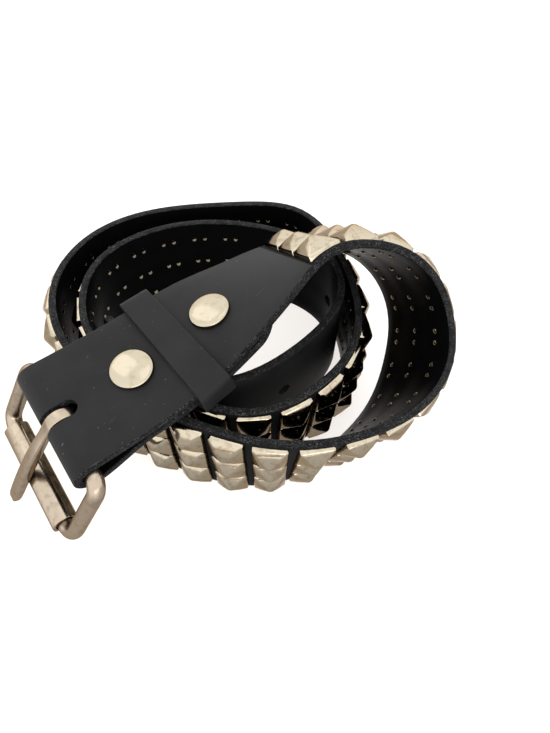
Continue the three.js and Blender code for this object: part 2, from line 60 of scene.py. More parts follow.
# Sizes that the CAD frame fixes, in millimetres
LEATHER = 2.8
STUD = 12.7
STUD_HEIGHT = 5.8
STUD_RIM = 1.5
STUD_ROWS = 3
STUD_COLUMNS = 50
EDGE_MARGIN = 1.6
TURN_SLACK = 0.9
COLUMN_GAP = 0.7
BUCKLE_END = 93.2
TAIL = 182.3
TAIL_POINT = 26
FLAP = 80
FLAP_POINT = 14
FLAP_CLOSING = 20
POINT_BLUNTNESS = 0.14
HOLE_RADIUS = 2.6
HOLE_COUNT = 5
HOLE_PITCH = 25.4
LAST_HOLE_TO_TIP = 62
SNAP_PLACES = (31, 61.6)
CAP_HEIGHT = 2.5
CAP_RIM = 0.9
POST_RADIUS = 2.2
SNAP_BACK_RADIUS = 6.2
SNAP_BACK_HEIGHT = 1.8
KEEPER_PLACE = 46.3
KEEPER_WIDTH = 11
KEEPER_LEATHER = 1.8
KEEPER_PLAY = 1.6
BAR_RADIUS = 2.65
BUCKLE_REACH = 26.5
ARM_GAP = 1.3
FRAME_CORNER = 4.5
FRAME_DROOP = 53
ROLLER_WALL = 1.05
EYE_THICKNESS = 2.4
TONGUE_WIDTH = 4.4
PRONG_THICKNESS = 3.4
SLOT_SIDE = 0.6
SLOT_END_ROOM = 1.2
GAP = 0.3

STRAP_WIDTH = STUD_ROWS * STUD + 2 * EDGE_MARGIN
COLUMN_PITCH = STUD + COLUMN_GAP
STUDS_START = BUCKLE_END - COLUMN_GAP / 2
BELT_LENGTH = BUCKLE_END + STUD_COLUMNS * COLUMN_PITCH + TAIL
FOLD_RADIUS = BAR_RADIUS + GAP + LEATHER / 2
BAR_PLACE = FOLD_RADIUS + LEATHER / 2
LAYER_STEP = LEATHER + GAP
EYE_RADIUS = BAR_RADIUS + GAP + EYE_THICKNESS / 2
SLOT_END = BAR_PLACE + EYE_RADIUS + EYE_THICKNESS / 2 + SLOT_END_ROOM
SLOT_WIDTH = TONGUE_WIDTH + 2 * SLOT_SIDE
ROLLER_RADIUS = BAR_RADIUS + GAP + ROLLER_WALL
FRAME_HALF = STRAP_WIDTH / 2 + ARM_GAP + BAR_RADIUS

BARE_STEP = LEATHER + TURN_SLACK
STUDDED_STEP = LEATHER + STUD_HEIGHT + TURN_SLACK
END = 0
OUTER = BARE_STEP + STUDDED_STEP
MIDDLE = BARE_STEP
INNER = 0

# The strap's middle line from the buckle to the tip, as the CAD source has it. across and away are
# shares of the coil's core size, beyond which the turn's step is added. lift is a share of the strap's
# width. lean is in degrees: 0 stands on edge and 90 lies studs up.
Row = namedtuple("Row", "turn across away lift lean")
ROUTE = (
    Row(END, -0.98, -1.04, 1.21, 93),
    Row(END, -0.38, -0.60, 1.22, 93),
    Row(END, -0.07, -0.32, 1.32, 85),
    Row(END, 0.28, -0.04, 1.40, 65),
    Row(END, 0.62, 0.25, 1.54, 50),
    Row(OUTER, 0.91, 0.26, 1.34, 45),
    Row(OUTER, 1.20, 0.11, 1.00, 6),
    Row(OUTER, 1.24, -0.17, 0.65, -30),
    Row(OUTER, 1.07, -0.50, 0.46, -31),
    Row(OUTER, 0.66, -0.75, 0.50, -17),
    Row(OUTER, 0.23, -0.85, 0.51, 1),
    Row(OUTER, -0.29, -0.61, 0.51, 5),
    Row(OUTER, -0.82, -0.36, 0.51, 4),
    Row(OUTER, -1.08, 0.15, 0.50, 0),
    Row(OUTER, -0.94, 0.63, 0.50, 0),
    Row(OUTER, -0.52, 0.86, 0.50, 0),
    Row(OUTER, 0.05, 0.88, 0.50, 0),
    Row(OUTER, 0.52, 0.93, 0.50, 0),
    Row(MIDDLE, 0.89, 0.50, 0.50, 0),
    Row(MIDDLE, 0.99, -0.17, 0.50, 0),
    Row(MIDDLE, 0.70, -0.58, 0.51, -3),
    Row(MIDDLE, 0.19, -0.84, 0.51, -6),
    Row(MIDDLE, -0.28, -0.55, 0.51, -3),
    Row(MIDDLE, -0.83, -0.33, 0.50, 0),
    Row(MIDDLE, -1.00, 0.14, 0.50, 0),
    Row(MIDDLE, -0.92, 0.58, 0.50, 0),
    Row(MIDDLE, -0.36, 0.89, 0.50, 0),
    Row(INNER, 0.36, 0.89, 0.50, 0),
    Row(INNER, 0.87, 0.58, 0.50, 0),
    Row(INNER, 0.96, 0.09, 0.50, 0),
    Row(INNER, 0.57, -0.37, 0.50, 0),
    Row(INNER, 0.05, -0.71, 0.50, 0),
    Row(INNER, -0.52, -0.48, 0.50, 0),
    Row(INNER, -0.94, 0.13, 0.50, 0),
)
STEPS_PER_ROW = 24
FIRST_CORE = 50
CORE_ROUNDS = 30

# Small sizes of the finish, in millimetres
CAP_RIM_ROUNDING = 0.3
WELL_ROOM = 1.2
WELL_WIDTH = 1.0
RING_ROUNDING = 0.35
PRONG_END_THICKNESS = 0.9
ROLLER_LIP = 0.2
TONGUE_GAP = 0.1
KEEPER_CUT = 3
PORE_SPACING = 0.6

# How finely the pieces are cut
CELLS_PER_COLUMN = 4
CELLS_PER_STRETCH = 80
ROLLER_SIDES = 8
# The share of a stud's slope at which it gets a ring of points for its swell
SWELL_RING = 0.45

# Tolerances in metres, for picking by place and for merging doubles
LOOSE = 1e-4
CLOSE = 1e-5
MERGE = 1e-6


# The strap's route


def route_points(core):
    """Control points of the route for a core size: place and lean."""
    points = []
    for row in ROUTE:
        reach = math.hypot(row.across, row.away)
        grown = core + row.turn / reach
        points.append((row.across * grown, row.away * grown, row.lift * STRAP_WIDTH, math.radians(row.lean)))
    return np.array(points)


def spline(points, u, slope=False):
    """A uniform cubic B-spline at the parameters u: its value, or its slope."""
    u = np.asarray(u, float)
    i = np.clip(np.floor(u).astype(int), 0, len(points) - 2)
    f = u - i
    ends = [2 * points[0] - points[1]], [2 * points[-1] - points[-2]]
    padded = np.concatenate([ends[0], points, ends[1]])
    if slope:
        shares = (-((1 - f) ** 2) / 2, (3 * f**2 - 4 * f) / 2, (-3 * f**2 + 2 * f + 1) / 2, f**2 / 2)
    else:
        rise = (-3 * f**3 + 3 * f**2 + 3 * f + 1) / 6
        shares = ((1 - f) ** 3 / 6, (3 * f**3 - 6 * f**2 + 4) / 6, rise, f**3 / 6)
    return sum(share[:, None] * padded[i + k] for k, share in enumerate(shares))


def route_lengths(points):
    """Lengths along the route at even steps of the spline."""
    u = np.arange((len(points) - 1) * STEPS_PER_ROW + 1) / STEPS_PER_ROW
    steps = np.linalg.norm(np.diff(spline(points, u)[:, :3], axis=0), axis=1)
    return u, np.concatenate([[0], np.cumsum(steps)])


def solve_core():
    """The core size that gives the route the belt's length."""
    core = FIRST_CORE
    for _ in range(CORE_ROUNDS):
        core *= BELT_LENGTH / route_lengths(route_points(core))[1][-1]
    return core


ROUTE_POINTS = route_points(solve_core())
ROUTE_STEPS, ROUTE_LENGTHS = route_lengths(ROUTE_POINTS)


def strap_axes(s):
    """The strap's own axes at the lengths s: its middle, along it, across it and out of its studs."""
    s = np.asarray(s, float)
    u = np.interp(s, ROUTE_LENGTHS, ROUTE_STEPS)
    middle = spline(ROUTE_POINTS, u)
    along = spline(ROUTE_POINTS, u, True)[:, :3]
    along /= np.linalg.norm(along, axis=1)[:, None]
    side = np.stack([-along[:, 1], along[:, 0], 0 * s], axis=1)
    side /= np.linalg.norm(side, axis=1)[:, None]
    up = np.cross(along, side)
    cosine, sine = np.cos(middle[:, 3:]), np.sin(middle[:, 3:])
    origin = middle[:, :3] + along * np.minimum(s, 0)[:, None]
    return origin, along, side * sine - up * cosine, side * cosine + up * sine


def on_route(s, v, h):
    """Places at the length s, v across the strap and h out of its middle, in millimetres."""
    origin, _, across, out = strap_axes(s)
    return origin + across * np.asarray(v, float)[:, None] + out * np.asarray(h, float)[:, None]


def on_facets(s, v, h):
    """The same, with the studded stretch flat between the middles of its gaps."""
    s = np.asarray(s, float)
    column = np.clip(np.floor((s - STUDS_START) / COLUMN_PITCH), 0, STUD_COLUMNS - 1)
    low = STUDS_START + column * COLUMN_PITCH
    share = ((s - low) / COLUMN_PITCH)[:, None]
    flat = on_route(low, v, h) * (1 - share) + on_route(low + COLUMN_PITCH, v, h) * share
    studded = (s > STUDS_START) & (s < STUDS_START + STUD_COLUMNS * COLUMN_PITCH)
    return np.where(studded[:, None], flat, on_route(s, v, h))


def coil_offset():
    """Where the frame has the coil: its first stud column's box there, less the same box on the route."""
    low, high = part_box("stud_column_01")
    foot = LEATHER / 2 + GAP
    half = STUD_ROWS * STUD / 2
    rows = np.linspace(-1, 1, STUD_ROWS + 1) * half
    tips = (rows[1:] + rows[:-1]) / 2
    spots = [(BUCKLE_END + e, v, foot + h) for e in (0, STUD) for v in rows for h in (0, STUD_RIM)]
    spots += [(BUCKLE_END + STUD / 2, v, foot + STUD_HEIGHT) for v in tips]
    places = on_facets(*np.array(spots).T)
    here = (places.min(axis=0) + places.max(axis=0)) / 2
    return (np.array(low) + np.array(high)) / 2 / MM - here


COIL_OFFSET = coil_offset()


def to_frame(places):
    """Millimetres on the route to metres in the CAD frame."""
    return (places + COIL_OFFSET) * MM


def strap_matrix(s, v, h, facets=True):
    """The placing matrix of a hard piece on the strap: X along it, Y across it and Z out of it."""
    place = on_facets if facets else on_route
    reach = STUD / 2
    spots = np.array([(s, v, h), (s - reach, v, h), (s + reach, v, h), (s, v - reach, h), (s, v + reach, h)])
    middle, before, after, left, right = (Vector(p) for p in to_frame(place(*spots.T)))
    along = (after - before).normalized()
    across = (right - left).normalized()
    out = along.cross(across).normalized()
    across = out.cross(along)
    turn = Matrix((along, across, out)).transposed().to_4x4()
    return Matrix.Translation((before + after) / 2 if facets else middle) @ turn


def buckle_matrix():
    """The buckle's own axes: X along its bars, Y from the heel bar to the front bar, Z up off it."""
    origin, along, across, out = (rows[0] for rows in strap_axes([BAR_PLACE]))
    place = to_frame(origin - out * FOLD_RADIUS)
    turn = Matrix((Vector(across), Vector(-along), Vector(out))).transposed().to_4x4()
    return Matrix.Translation(Vector(place)) @ turn @ Matrix.Rotation(math.radians(-FRAME_DROOP), 4, "X")


def folded(x, v, z):
    """Lays flat leather on the route. x is 0 over the heel bar and below 0 round the fold and flap."""
    turn = np.clip(-x / FOLD_RADIUS, 0, math.pi)
    back = np.maximum(-x - math.pi * FOLD_RADIUS, 0)
    share = np.clip(back / FLAP_CLOSING, 0, 1)
    closing = (2 * FOLD_RADIUS - LAYER_STEP) * share * share * (3 - 2 * share)
    s = BAR_PLACE + np.maximum(x, 0) + back - FOLD_RADIUS * np.sin(turn)
    h = -FOLD_RADIUS * (1 - np.cos(turn)) + closing
    return s - z * np.sin(turn), v, h + z * np.cos(turn)


# Modelling


def start():
    """Object mode with nothing selected."""
    if bpy.context.mode != "OBJECT":
        bpy.ops.object.mode_set(mode="OBJECT")
    bpy.ops.object.select_all(action="DESELECT")


def take(piece):
    """Object mode with one piece selected and active."""
    start()
    piece.select_set(True)
    bpy.context.view_layer.objects.active = piece


def open_mesh(piece, kind="FACE"):
    """Edit mode on one piece with nothing in it selected."""
    take(piece)
    bpy.ops.object.mode_set(mode="EDIT")
    bpy.ops.mesh.select_mode(type=kind)
    bpy.ops.mesh.select_all(action="DESELECT")


def pick(kind, test):
    """Select what passes the test: edges by middle and run, faces by middle and normal."""
    bpy.ops.mesh.select_mode(type=kind)
    bpy.ops.mesh.select_all(action="DESELECT")
    mesh = bmesh.from_edit_mesh(bpy.context.object.data)
    if kind == "EDGE":
        for edge in mesh.edges:
            first, second = (vert.co for vert in edge.verts)
            edge.select_set(bool(test((first + second) / 2, second - first)))
    else:
        for face in mesh.faces:
            face.select_set(bool(test(face.calc_center_median(), face.normal)))
    bmesh.update_edit_mesh(bpy.context.object.data)


def pick_all():
    """Select the whole mesh."""
    bpy.ops.mesh.select_all(action="SELECT")


def pick_bottom():
    """Select the faces that point down."""
    pick("FACE", lambda middle, normal: normal.z < -0.9)


def close_mesh():
    """Back to object mode, with doubles merged and normals pointing out."""
    bpy.ops.mesh.select_mode(type="VERT")
    pick_all()
    bpy.ops.mesh.remove_doubles(threshold=MERGE)
    bpy.ops.mesh.normals_make_consistent(inside=False)
    bpy.ops.object.mode_set(mode="OBJECT")
    return bpy.context.object


def extrude(x, y, z):
    """Draw out what is selected by a step in metres."""
    bpy.ops.mesh.extrude_region_move(TRANSFORM_OT_translate={"value": (x, y, z)})


def round_off(offset, segments, kind="EDGES"):
    """Round the edges or corners that are selected."""
    bpy.ops.mesh.bevel(offset=offset, segments=segments, affect=kind)


def turn_round(steps, angle, center, axis):
    """Draw out what is selected round an axis. With no window, spin turns the other way."""
    bpy.ops.mesh.spin(steps=steps, angle=-angle, center=center, axis=axis)


def settle(piece):
    """Apply an object's place, turn and scale to its mesh."""
    take(piece)
    bpy.ops.object.transform_apply(location=True, rotation=True, scale=True)
    return piece


def finish_modifier(piece, kind, **settings):
    """Add a modifier and apply it."""
    take(piece)
    modifier = piece.modifiers.new(kind.title(), kind)
    for name, value in settings.items():
        setattr(modifier, name, value)
    bpy.ops.object.modifier_apply(modifier=modifier.name)


def smooth(piece, degrees):
    """Shade smooth, apart from edges that are sharper than this."""
    take(piece)
    bpy.ops.object.shade_smooth_by_angle(angle=math.radians(degrees))


def places_of(mesh):
    """A mesh's vertices as an array."""
    places = np.empty(len(mesh.vertices) * 3)
    mesh.vertices.foreach_get("co", places)
    return places.reshape(-1, 3)


def put_places(mesh, places):
    """Give a mesh's vertices new places."""
    mesh.vertices.foreach_set("co", np.asarray(places, np.float32).ravel())
    mesh.update()


def keep_flat_places(piece):
    """Store the flat leather's places, which its patterns follow once it is laid on the route."""
    stored = piece.data.attributes.new("flat_place", "FLOAT_VECTOR", "POINT")
    stored.data.foreach_set("vector", places_of(piece.data).astype(np.float32).ravel())


def several(name, pattern, matrices):
    """One piece made of copies of a mesh."""
    parts = bmesh.new()
    for matrix in matrices:
        copy = pattern.data.copy()
        copy.transform(matrix)
        parts.from_mesh(copy)
        bpy.data.meshes.remove(copy)
    mesh = bpy.data.meshes.new(name)
    parts.to_mesh(mesh)
    parts.free()
    piece = bpy.data.objects.new(name, mesh)
    bpy.context.scene.collection.objects.link(piece)
    return piece


def dress(piece, body, slot, nodes, *materials):
    """Give a finished piece its body, the CAD nodes it stands for and its materials. The slot is not used.
    """
    for material in materials:
        piece.data.materials.append(material)
    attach(piece, body)
    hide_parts(*nodes)


# Materials


def linear(hexa):
    """An sRGB hex colour as linear RGBA."""
    values = [int(hexa[k : k + 2], 16) / 255 for k in (0, 2, 4)]
    return tuple(c / 12.92 if c <= 0.04045 else ((c + 0.055) / 1.055) ** 2.4 for c in values) + (1.0,)


def new_material(name):
    """A material with its nodes cleared, and its principled shader."""
    material = bpy.data.materials.new(name)
    material.use_nodes = True
    material.node_tree.nodes.clear()
    shader = add_node(material, "ShaderNodeBsdfPrincipled")
    add_node(material, "ShaderNodeOutputMaterial", links={"Surface": shader.outputs["BSDF"]})
    return material, shader


def add_node(material, kind, settings=None, values=None, links=None):
    """Add a node with its settings, socket values and links."""
    node = material.node_tree.nodes.new(kind)
    for name, value in (settings or {}).items():
        setattr(node, name, value)
    for name, value in (values or {}).items():
        node.inputs[name].default_value = value
    for name, source in (links or {}).items():
        material.node_tree.links.new(source, node.inputs[name])
    return node


def link(material, source, node, name):
    """Link a socket into a node that is there already."""
    material.node_tree.links.new(source, node.inputs[name])


def noise(material, place, size, detail, stretch=(1.0, 1.0, 1.0)):
    """Cloudy variation with features of about this size in millimetres."""
    mapping = add_node(material, "ShaderNodeMapping", values={"Scale": stretch}, links={"Vector": place})
    cloud = add_node(material, "ShaderNodeTexNoise", values={"Scale": 1 / (size * MM), "Detail": detail},
                     links={"Vector": mapping.outputs["Vector"]})
    return cloud.outputs["Fac"]


def ramp(material, value, low, high, low_colour=(0, 0, 0, 1), high_colour=(1, 1, 1, 1)):
    """Colours between two values of a pattern."""
    band = add_node(material, "ShaderNodeValToRGB", links={"Fac": value})
    ends = band.color_ramp.elements
    ends[0].position, ends[1].position = low, high
    ends[0].color, ends[1].color = low_colour, high_colour
    return band.outputs["Color"]


def blend(material, share, first, second):
    """One colour over another by a share."""
    mix = add_node(material, "ShaderNodeMix", {"data_type": "RGBA"})
    link(material, share, mix, 0)
    for socket, source in ((6, first), (7, second)):
        if isinstance(source, bpy.types.NodeSocket):
            link(material, source, mix, socket)
        else:
            mix.inputs[socket].default_value = source
    return mix.outputs[2]


def between(material, value, low, high):
    """A pattern's 0 to 1 brought between two numbers."""
    ends = {"To Min": low, "To Max": high}
    span = add_node(material, "ShaderNodeMapRange", values=ends, links={"Value": value})
    return span.outputs["Result"]


def relief(material, height, depth, strength, under=None):
    """Bumps of a depth in millimetres, over other bumps where there are any."""
    links = {"Height": height}
    if under is not None:
        links["Normal"] = under
    values = {"Strength": strength, "Distance": depth * MM}
    bump = add_node(material, "ShaderNodeBump", values=values, links=links)
    return bump.outputs["Normal"]


def flat_place(material):
    """Where a point was on the flat leather."""
    return add_node(material, "ShaderNodeAttribute", {"attribute_name": "flat_place"}).outputs["Vector"]


def leather_face(colours, name="pressed_black_cowhide", gloss=0.1):
    """Chrome-tanned cowhide, pigmented and pressed smooth.

    To the eye it is a soft semi-matte charcoal with a faint pore grain, cloudy where hands have
    polished it, and with a few pale nicks and fine scratches along the strap.
    """
    material, shader = new_material(name)
    flat = flat_place(material)
    clouds = noise(material, flat, 14, 3)
    base = blend(material, ramp(material, clouds, 0.35, 0.7), colours.leather_face, colours.leather_worn)
    # Nicks of about half a millimetre
    nicks = ramp(material, noise(material, flat, 1.1, 1), 0.76, 0.79)
    scratches = ramp(material, noise(material, flat, 0.5, 1, (0.06, 1, 1)), 0.76, 0.84)
    marks = add_node(material, "ShaderNodeMath", {"operation": "MAXIMUM"})
    link(material, nicks, marks, 0)
    link(material, scratches, marks, 1)
    share = between(material, marks.outputs["Value"], 0, 0.28)
    link(material, blend(material, share, base, colours.leather_nick), shader, "Base Color")
    link(material, between(material, clouds, 0.5, 0.66), shader, "Roughness")
    shader.inputs["Specular IOR Level"].default_value = gloss
    # Pores lie about 0.45 mm apart, drawn at 0.6 mm so that they show
    cells = add_node(material, "ShaderNodeTexVoronoi", {"feature": "DISTANCE_TO_EDGE"},
                     {"Scale": 1 / (PORE_SPACING * MM)}, {"Vector": flat})
    pores = relief(material, cells.outputs["Distance"], 0.05, 0.35)
    creases = relief(material, noise(material, flat, 2.6, 4), 0.12, 0.3, pores)
    link(material, relief(material, marks.outputs["Value"], -0.08, 0.5, creases), shader, "Normal")
    return material


def leather_back(colours):
    """The flesh side, filled, glazed and waxed.

    To the eye it is a deep glossy black, with soft ribs along the strap where each row of studs
    draws the leather in.
    """
    material, shader = new_material("glazed_leather_back")
    flat = flat_place(material)
    clouds = noise(material, flat, 9, 3)
    base = blend(material, clouds, colours.leather_back, colours.leather_back_worn)
    link(material, base, shader, "Base Color")
    link(material, between(material, clouds, 0.16, 0.34), shader, "Roughness")
    shader.inputs["Specular IOR Level"].default_value = 0.008
    # The wave's bands repeat every 0.314 of its own units, so this makes one for each row of studs
    wave = {"Scale": 0.314 / (STUD * MM), "Distortion": 1.2, "Detail": 1.0, "Phase Offset": math.pi / 2}
    rows = add_node(material, "ShaderNodeTexWave", {"bands_direction": "Y"}, wave, {"Vector": flat})
    ribs = relief(material, rows.outputs["Fac"], 0.35, 0.25)
    link(material, relief(material, noise(material, flat, 1.4, 4), 0.06, 0.3, ribs), shader, "Normal")
    return material


def leather_edge(colours):
    """The raw cut edge, dyed with the face.

    To the eye it is a fuzzy charcoal line of loose fibres that glint grey here and there.
    """
    material, shader = new_material("raw_cut_edge")
    flat = flat_place(material)
    fibres = noise(material, flat, 0.42, 5)
    tufts = noise(material, flat, 2.2, 2)
    lit = ramp(material, fibres, 0.5, 0.74, colours.edge_dark, colours.edge_light)
    base = blend(material, ramp(material, tufts, 0.4, 0.75), lit, colours.edge_dark)
    link(material, base, shader, "Base Color")
    shader.inputs["Roughness"].default_value = 0.85
    shader.inputs["Specular IOR Level"].default_value = 0.1
    link(material, relief(material, fibres, 0.35, 0.8), shader, "Normal")
    return material


def nickel(name, colours, plate, polish, wear, turn=None, drawn=(0.15, 1, 0.4)):
    """Bright nickel plate on pressed or bent steel.

    To the eye it is a warm mirror, a little browner where the plate is thin, clouded by handling and
    crossed by fine rubbing lines, which on a drawn bar run along it.
    """
    material, shader = new_material(name)
    place = add_node(material, "ShaderNodeTexCoord").outputs["Object"]
    if turn is not None:
        place = add_node(material, "ShaderNodeMapping", {"vector_type": "TEXTURE"}, {"Rotation": turn},
                         {"Vector": place}).outputs["Vector"]
    clouds = noise(material, place, 5, 4)
    thin = ramp(material, noise(material, place, 2.3, 3), 0.5, 0.72)
    share = between(material, thin, 0, 0.55 * wear)
    link(material, blend(material, share, plate, colours.plate_thin), shader, "Base Color")
    shader.inputs["Metallic"].default_value = 1.0
    shader.inputs["Specular Tint"].default_value = colours.plate_glancing
    link(material, between(material, clouds, polish * 0.7, polish * 1.6), shader, "Roughness")
    dents = relief(material, noise(material, place, 3.2, 2), 0.05, 0.3 * wear)
    lines = noise(material, place, 0.22, 2, drawn)
    link(material, relief(material, lines, 0.012, 0.5 * wear, dents), shader, "Normal")
    return material


# Sizes and colours that a user would change


def distance(name, description, default, largest=0.01):
    """A length that a user can set."""
    return bpy.props.FloatProperty(name=name, description=description, default=default, min=0.0, max=largest,
                                   subtype="DISTANCE", unit="LENGTH", precision=5)


def colour(name, description, hexa):
    """A colour that a user can set."""
    return bpy.props.FloatVectorProperty(name=name, description=description, default=linear(hexa), size=4,
                                         min=0.0, max=1.0, subtype="COLOR")


class BeltSizes(bpy.types.PropertyGroup):
    """Small sizes of the belt's finish."""

    edge_rounding: distance("Edge rounding", "How far the leather's long edges are worn round", 0.0006)
    stud_length: distance("Stud length", "A stud's side along the strap, rolled in at its prongs",
                          0.0118, 0.0127)
    stud_width: distance("Stud width", "A stud's side across the strap", 0.0126, 0.0127)
    cap_radius: distance("Snap cap radius", "Half the width of a snap's domed cap", 0.0069, 0.00725)
    hip_rounding: distance("Stud hip rounding", "Softness of the pressed studs' hips and corners", 0.0008)
    rim_rounding: distance("Stud rim rounding", "Softness of the studs' rim", 0.0007)
    stud_belly: distance("Stud belly", "How far a stud's faces and hips swell halfway up", 0.00035)
    prong_length: distance("Prong length", "Length of a stud prong's bent-over end", 0.0025)
    prong_width: distance("Prong width", "Width of a stud prong's bent-over end", 0.0018)
    prong_spacing: distance("Prong spacing", "Distance between a stud's two prongs", 0.0045)
    keeper_rounding: distance("Keeper rounding", "How far the keeper's edges are worn round", 0.0004)
    tongue_rounding: distance("Tongue rounding", "Softness of the tongue's long edges", 0.0008)
    roller_rounding: distance("Roller rounding", "Softness of the folds of the roller's sheet", 0.0008)
    roller_seam: distance("Roller seam", "Open seam of the rolled sheet", 0.0006)
    roller_turn: bpy.props.FloatProperty(
        name="Roller turn", description="How far the roller has turned at rest",
        default=math.radians(8), subtype="ANGLE", unit="ROTATION")


class BeltColours(bpy.types.PropertyGroup):
    """Colours of the belt and its studio."""

    leather_face: colour("Leather face", "The strap's pressed face", "0a0a0b")
    leather_worn: colour("Leather face, rubbed", "The face where hands have polished it", "121214")
    leather_nick: colour("Leather nicks", "Small nicks in the face", "585754")
    leather_back: colour("Leather back", "The strap's glazed back", "020203")
    leather_back_worn: colour("Leather back, rubbed", "Rubbed places of the back", "060606")
    edge_dark: colour("Edge, dark", "Shadowed fibres of the cut edge", "040405")
    edge_light: colour("Edge, light", "Glinting fibres of the cut edge", "424345")
    plate: colour("Plate", "Nickel plate", "878072")
    plate_buckle: colour("Plate, buckle", "The buckle's duller plate", "80766a")
    plate_thin: colour("Plate, thin", "Nickel plate worn thin", "63574a")
    plate_glancing: colour("Plate, glancing", "What the plate keeps of a glancing reflection", "cec0b3")
    floor_glass: colour("Floor, glass", "The light table's opal glass", "787878")
    floor_glow: colour("Floor, glow", "The light through the opal glass", "f3eeea")
    tent_cloth: colour("Tent, cloth", "White cloth of the light tent", "fdfcf9")
    tent_skirt: colour("Tent, skirt", "Brown skirt of the light tent", "63493a")
    tent_hem: colour("Tent, hem", "Paler upper hem of the skirt", "d2c3b3")


class BeltPiece:
    """What the operators share."""

    bl_options = {"REGISTER", "UNDO"}

    @property
    def sizes(self):
        return bpy.context.scene.belt_sizes

    @property
    def colours(self):
        return bpy.context.scene.belt_colours


# Strap


class BELT_OT_strap(BeltPiece, bpy.types.Operator):
    """The strap with its flap, slot and punched holes, cut flat and laid on the coil's route"""

    bl_idname = "belt.strap"
    bl_label = "Strap"

    def execute(self, context):
        step = COLUMN_PITCH / CELLS_PER_COLUMN
        first = STUDS_START - BAR_PLACE
        flap_end = -(math.pi * FOLD_RADIUS + FLAP - BAR_PLACE)
        tip = BELT_LENGTH - BAR_PLACE
        low = first - math.ceil((first - flap_end) / step) * step
        stretches = math.ceil((tip - low) / step / CELLS_PER_STRETCH)
        high = low + stretches * CELLS_PER_STRETCH * step
        start()
        bpy.ops.mesh.primitive_cube_add(size=1, location=((low + high) / 2 * MM, 0, 0),
                                        scale=((high - low) * MM, STRAP_WIDTH * MM, LEATHER * MM))
        strap = settle(bpy.context.object)
        strap.name = "belt_strap"
        open_mesh(strap, "EDGE")
        # The length is cut into stretches, and each of those into cells
        for count in (stretches, CELLS_PER_STRETCH):
            pick("EDGE", lambda middle, run: abs(run.x) > LOOSE)
            bpy.ops.mesh.subdivide(number_cuts=count - 1)
        pick("EDGE", lambda middle, run: abs(run.y) > LOOSE)
        bpy.ops.mesh.subdivide(number_cuts=7)
        fold = -math.pi * FOLD_RADIUS * MM
        pick("EDGE", lambda middle, run: abs(run.x) > LOOSE and fold - 0.002 < middle.x < 0.002)
        bpy.ops.mesh.subdivide(number_cuts=4)
        points = ((flap_end + FLAP_POINT) * MM, (tip - TAIL_POINT) * MM)
        pick("EDGE", lambda middle, run: abs(run.x) > LOOSE and not points[0] < middle.x < points[1])
        bpy.ops.mesh.subdivide(number_cuts=2)
        corner = (STRAP_WIDTH / 2 * MM - CLOSE, LEATHER / 2 * MM - CLOSE)
        pick("EDGE", lambda middle, run: abs(middle.y) > corner[0] and abs(middle.z) > corner[1])
        round_off(self.sizes.edge_rounding, 3)
        close_mesh()

        # The ends run to their rounded points
        places = places_of(strap.data)
        x = np.clip(places[:, 0] / MM, flap_end, tip)
        flap_share = np.clip((flap_end + FLAP_POINT - x) / FLAP_POINT, 0, 1)
        tail_share = np.clip((x - tip + TAIL_POINT) / TAIL_POINT, 0, 1)
        share = np.maximum(flap_share, tail_share)
        half = np.maximum(np.sqrt(1 - share**2), POINT_BLUNTNESS)
        places[:, 0] = x * MM
        places[:, 1] *= half
        put_places(strap.data, places)

        # Punched holes and the tongue's slot
        slot_ends = (-math.pi * FOLD_RADIUS - (SLOT_END - BAR_PLACE), SLOT_END - BAR_PLACE)
        for k in range(HOLE_COUNT):
            x = tip - LAST_HOLE_TO_TIP - k * HOLE_PITCH
            self.punch(strap, (x, x), HOLE_RADIUS)
        half_slot = SLOT_WIDTH / 2
        self.punch(strap, (slot_ends[0] + half_slot, slot_ends[1] - half_slot), half_slot)

        open_mesh(strap)
        close_mesh()
        keep_flat_places(strap)
        mesh = strap.data
        polished, back, edge, stud_gap_shade = range(4)
        for face in mesh.polygons:
            flat = abs(face.normal.z) > 0.8
            studded = first * MM < face.center.x < (first + STUD_COLUMNS * COLUMN_PITCH) * MM
            # Where the studs stand, the face takes the painted-shade copy of the leather, with its
            # reflection turned down
            front = stud_gap_shade if studded else polished
            face.material_index = (front if face.normal.z > 0 else back) if flat else edge
        x, v, z = (places_of(mesh) / MM).T
        s, v, h = folded(x, v, z)
        put_places(mesh, to_frame(on_route(s, v, h)))
        smooth(strap, 40)
        dress(strap, "belt", "black_leather", ["strap"], leather_face(self.colours),
              leather_back(self.colours), leather_edge(self.colours),
              # The face between the studs gets almost no specular reflection: painted shade, standing in for
              # the shadow the studs cast there
              leather_face(self.colours, "black_cowhide_painted_shade", 0.015))
        return {"FINISHED"}

    def punch(self, strap, ends, radius):
        """Cut a round hole, or a slot with round ends, through the flat strap."""
        start()
        middle = (ends[0] + ends[1]) / 2 * MM
        bpy.ops.mesh.primitive_cylinder_add(vertices=32, radius=radius * MM, depth=4 * LEATHER * MM,
                                            location=(middle, 0, 0))
        cutter = settle(bpy.context.object)
        places = places_of(cutter.data)
        places[:, 0] += np.where(places[:, 0] > middle, 1, -1) * (ends[1] - ends[0]) / 2 * MM
        put_places(cutter.data, places)
        finish_modifier(strap, "BOOLEAN", object=cutter, operation="DIFFERENCE", solver="EXACT")
        bpy.data.objects.remove(cutter)


# Studs


